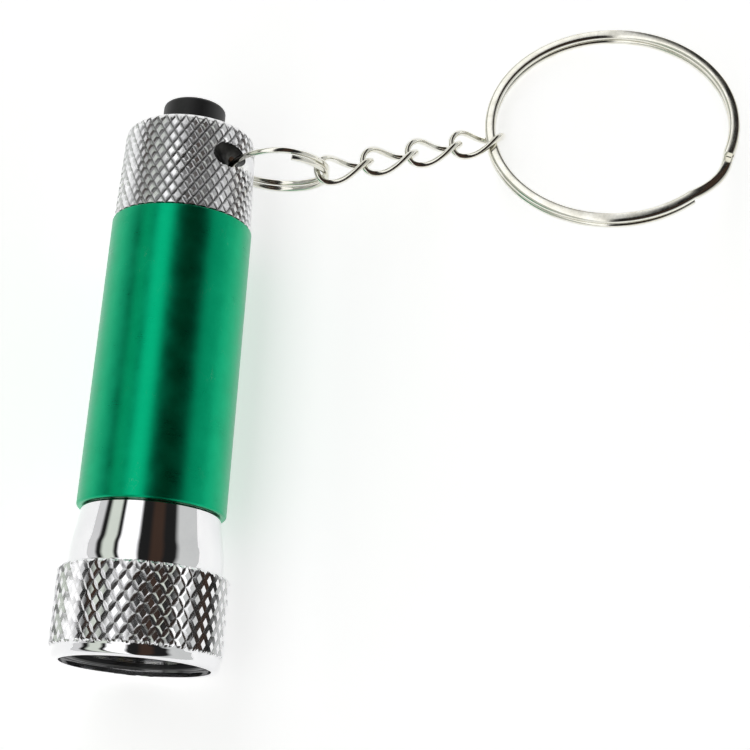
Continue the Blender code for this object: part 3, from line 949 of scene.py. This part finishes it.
def link_points(centre, steps):
    """A curb link's path: an oval that turns through LINK_TWIST between its two ends."""
    along, across, up = chain_axes()
    half_length = (LINK_LENGTH - LINK_WIRE) / 2
    half_width = (LINK_WIDTH - LINK_WIRE) / 2
    points = []
    for i in range(steps):
        angle = 2 * math.pi * i / steps
        x = half_length * rounded(math.cos(angle))
        width = half_width * rounded(math.sin(angle))
        share = x / (2 * half_length) + 0.5
        twist = LINK_TWIST * share * share * (3 - 2 * share)
        sideways = across * math.cos(twist) - up * math.sin(twist)
        points.append(centre + (along * x + sideways * width) * MM)
    return points


def make_chain():
    for number in range(LINK_COUNT):
        stations = transported_stations(link_points(link_centre(number), 96), True)
        name = f"curb_link_{number + 1}"
        section = round_section(LINK_WIRE - WIRE_CLEARANCE, 14)
        mesh = swept_mesh(name, stations, section, [NICKEL], True)
        finish_piece(name, mesh, f"link_{number + 1}", [f"chain_link_{number + 1}"], 60)


def key_ring_frame():
    hook = link_centre(LINK_COUNT - 1) + chain_axes()[0] * LINK_TO_KEY_RING * MM
    outwards = Vector((math.cos(KEY_RING_HOOK_ANGLE), math.sin(KEY_RING_HOOK_ANGLE), 0))
    from_centre = KEY_RING_TILT @ (outwards * KEY_RING_RADIUS * MM)
    return Matrix.Translation(hook - from_centre) @ KEY_RING_TILT


def rounded_rectangle(width, height, corner, steps):
    points = []
    for centre_x, centre_y, start in ((1, 1, 0), (-1, 1, 90), (-1, -1, 180), (1, -1, 270)):
        for i in range(steps + 1):
            angle = math.radians(start + 90 * i / steps)
            points.append((centre_x * (width / 2 - corner) + corner * math.cos(angle),
                           centre_y * (height / 2 - corner) + corner * math.sin(angle)))
    return points


def make_key_ring():
    stations = split_ring_stations(KEY_RING_RADIUS, KEY_RING_RISE, key_ring_frame(),
                                   KEY_RING_GAP, KEY_RING_HALF_GAP, hand=-1, bulge=KEY_RING_BULGE,
                                   steps_per_turn=180)
    section = rounded_rectangle(KEY_RING_WIRE_WIDTH - WIRE_CLEARANCE,
                                KEY_RING_WIRE_HEIGHT - WIRE_CLEARANCE, KEY_RING_CORNER, 6)
    mesh = swept_mesh("key_ring_wire", stations, section, [NICKEL], False)
    finish_piece("key_ring_wire", mesh, "key_ring", ["key_ring"], 50)


# ---------------------------------------------------------------- carried-over CAD nodes

INNER_MATERIALS = {
    "lens_gasket": RUBBER, "led_board": BOARD, "board_contact_spring": SPRING, "cell_sleeve": CARD,
    "tail_seal_ring": RUBBER, "switch_housing": PLASTIC_BLACK, "switch_retainer": BRASS,
    "tail_contact_spring": SPRING, "contact_plunger": BRASS,
    **{f"cell_{number + 1}": CELL_CAN for number in range(CELL_COUNT)},
}


def dress_inner_nodes():
    for name, mat in INNER_MATERIALS.items():
        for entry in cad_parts[name].material_slots:
            entry.material = mat


# ---------------------------------------------------------------- stage, light and camera

FLOOR_HALF_WIDTH = 1.5         # in metres, as is the next
FLOOR_DROP = 0.0001            # the floor lies this far below the lowest point of the CAD
LENS_PIXELS = 1800.0           # focal length in pixels of a frame FRAME_PIXELS wide
CAMERA_OFFSET = Vector((22.6, -20.7, 172.0)) * MM   # from the axis at the bezel
CAMERA_AZIMUTH = math.radians(2.1)
CAMERA_ELEVATION = math.radians(73.4)
CAMERA_ROLL = math.radians(2.05)
FRAME_PIXELS = 750.0
SENSOR_MM = 36.0


def make_floor():
    mesh = bpy.data.meshes.new("floor")
    half = FLOOR_HALF_WIDTH
    corners = [(-half, -half, 0), (half, -half, 0), (half, half, 0), (-half, half, 0)]
    mesh.from_pydata(corners, [], [(0, 1, 2, 3)])
    mesh.materials.append(studio_floor())
    obj = bpy.data.objects.new("floor", mesh)
    bpy.context.scene.collection.objects.link(obj)
    obj.location.z = CAD_BOUNDS[0].z - FLOOR_DROP


def make_world():
    """Soft studio walls: brightness depends on the angle about the torch's axis.

    From straight up, positive angles lean towards +X. On the left a dim and a bright panel stand
    between dark gaps. Overhead and to the right lies a wide dark gap with dark wood in its middle.
    The rest is a pale wall.
    """
    world = bpy.data.worlds.new("studio")
    bpy.context.scene.world = world
    world.use_nodes = True
    tree = world.node_tree
    background = tree.nodes["Background"]
    place = node(tree, "ShaderNodeTexCoord").outputs["Generated"]
    parts = node(tree, "ShaderNodeSeparateXYZ")
    tree.links.new(place, parts.inputs[0])
    angle = node(tree, "ShaderNodeMath", operation="ARCTAN2")
    tree.links.new(parts.outputs["X"], angle.inputs[0])
    tree.links.new(parts.outputs["Z"], angle.inputs[1])
    ramp = node(tree, "ShaderNodeValToRGB")
    tree.links.new(remap(tree, angle.outputs[0], -math.pi, math.pi, 0.0, 1.0), ramp.inputs["Fac"])
    wall = (0.68, 0.68, 0.68)
    panel = (1.3, 1.3, 1.3)
    dim_panel = (0.7, 0.75, 0.67)
    dark = (0.015, 0.015, 0.015)
    wood = (0.05, 0.03, 0.022)
    side = (0.62, 0.63, 0.62)
    stops = [(-180, wall), (-76, wall), (-71, dark), (-66, dark), (-60, dim_panel), (-45, dim_panel),
             (-41, dark), (-38, dark), (-34, panel), (-10, panel), (-5, dark), (8, dark), (15, wood),
             (27, wood), (34, dark), (49, dark), (57, side), (110, side), (180, wall)]
    elements = ramp.color_ramp.elements
    while len(elements) < len(stops):
        elements.new(0.5)
    for element, (degrees, colour) in zip(elements, stops):
        element.position = (degrees + 180) / 360
        element.color = (*colour, 1.0)
    tree.links.new(ramp.outputs["Color"], background.inputs["Color"])


def make_camera():
    data = bpy.data.cameras.new("camera")
    data.sensor_width = SENSOR_MM
    data.lens = LENS_PIXELS / FRAME_PIXELS * SENSOR_MM
    data.clip_start = 0.01
    obj = bpy.data.objects.new("camera", data)
    bpy.context.scene.collection.objects.link(obj)
    place = torch_point(0, 0, 0) + CAMERA_OFFSET
    turn = (Matrix.Rotation(CAMERA_AZIMUTH, 4, "Z")
            @ Matrix.Rotation(math.radians(90) - CAMERA_ELEVATION, 4, "X")
            @ Matrix.Rotation(CAMERA_ROLL, 4, "Z"))
    obj.matrix_world = Matrix.Translation(place) @ turn
    bpy.context.scene.camera = obj


make_head()
make_front_stack()
make_barrel()
make_tail_cap()
make_button()
make_button_spring()
make_split_ring()
make_chain()
make_key_ring()
dress_inner_nodes()
make_floor()
make_world()
make_camera()
bpy.context.scene.view_settings.view_transform = "Standard"
